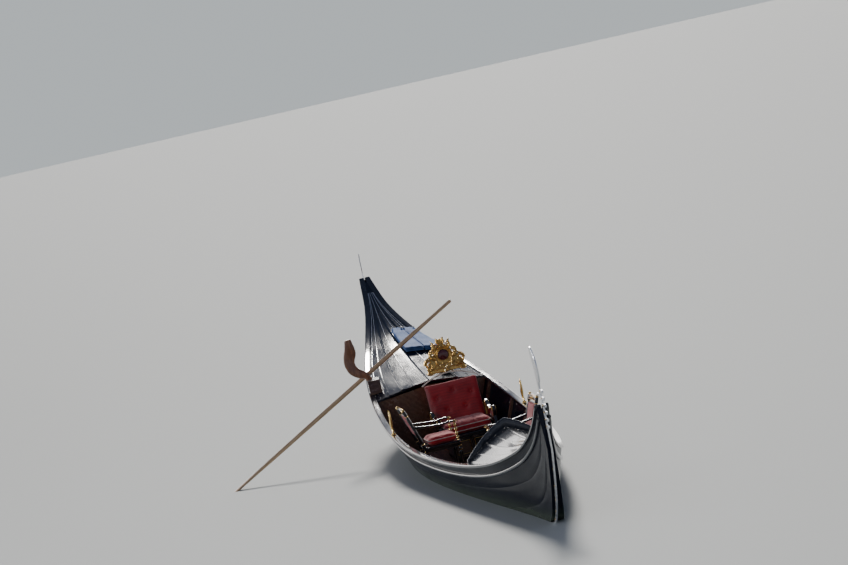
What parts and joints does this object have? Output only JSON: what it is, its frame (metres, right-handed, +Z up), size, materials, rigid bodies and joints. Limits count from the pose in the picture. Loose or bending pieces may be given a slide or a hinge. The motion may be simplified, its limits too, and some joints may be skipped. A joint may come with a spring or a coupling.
{
  "type": "gondola boat",
  "caption": "Flat-bottomed canal rowing boat with bow and stern irons, decked ends, open cockpit with padded seats, and an oar in a carved crutch.",
  "frame": {"origin": "on the waterline, amidships, in line with the two end posts", "axes": "+X towards the bow, +Y to port, +Z up"},
  "size_m": [10.722, 3.7406, 2.4558],
  "materials": {
    "hull_lacquer": "glossy black lacquer on wood planks",
    "rim_lacquer": "glossy black lacquer on the rim mouldings",
    "deck_lacquer": "mirror-bright blue-black lacquer",
    "inner_wood": "dark varnished and painted wood",
    "floor_wood": "worn varnished floor boards",
    "walnut": "oiled walnut",
    "pale_wood": "pale oiled wood",
    "bright_iron": "polished iron",
    "brass": "polished brass",
    "gilt": "gilded carved wood",
    "red_cloth": "deep red velvet",
    "blue_cover": "light blue folded weather cover"
  },
  "bodies": {
    "hull": {"bottom": "hull_lacquer", "side_aft_starboard": "hull_lacquer", "side_fore_starboard": "hull_lacquer", "side_aft_port": "hull_lacquer", "side_fore_port": "hull_lacquer", "stem_post": "hull_lacquer", "stern_post": "hull_lacquer", "gunwale_starboard": "rim_lacquer", "gunwale_port": "rim_lacquer", "rub_rail_starboard": "rim_lacquer", "rub_rail_port": "rim_lacquer", "bow_deck": "deck_lacquer", "bow_coaming": "deck_lacquer", "stern_deck": "deck_lacquer", "bow_bulkhead": "inner_wood", "stern_bulkhead": "inner_wood", "floor_stern": "floor_wood", "floor_middle": "floor_wood", "floor_bow": "floor_wood", "thwart_bow": "inner_wood", "seat_base": "inner_wood", "seat_cushion": "red_cloth", "seat_back": "red_cloth", "seat_crest": "gilt", "seat_arm_starboard": "inner_wood", "seat_arm_port": "inner_wood", "chair_frame_starboard": "inner_wood", "chair_frame_port": "inner_wood", "chair_cushion_starboard": "red_cloth", "chair_cushion_port": "red_cloth", "chair_back_starboard": "red_cloth", "chair_back_port": "red_cloth", "sea_horse_starboard": "brass", "sea_horse_port": "brass", "crutch_block": "inner_wood", "crutch": "walnut", "bow_iron": "bright_iron", "stern_iron": "bright_iron", "folded_cover": "blue_cover", "foot_board": "walnut"},
    "oar": {"oar_loom": "pale_wood", "oar_blade": "pale_wood"},
    "locker_door": {"bow_locker_door": "inner_wood"}
  },
  "joints": [
    {"name": "oar_stroke", "type": "hinge", "parent": "hull", "child": "oar", "pos_m": [-2.862, -0.5113, 0.88491], "axis": [0, 0, 1], "range_deg": [-20, 20]},
    {"name": "locker_door_hinge", "type": "hinge", "parent": "hull", "child": "locker_door", "pos_m": [2.329, 0.319, 0.1154], "axis": [0, 0, -1], "range_deg": [0, 95]}
  ]
}
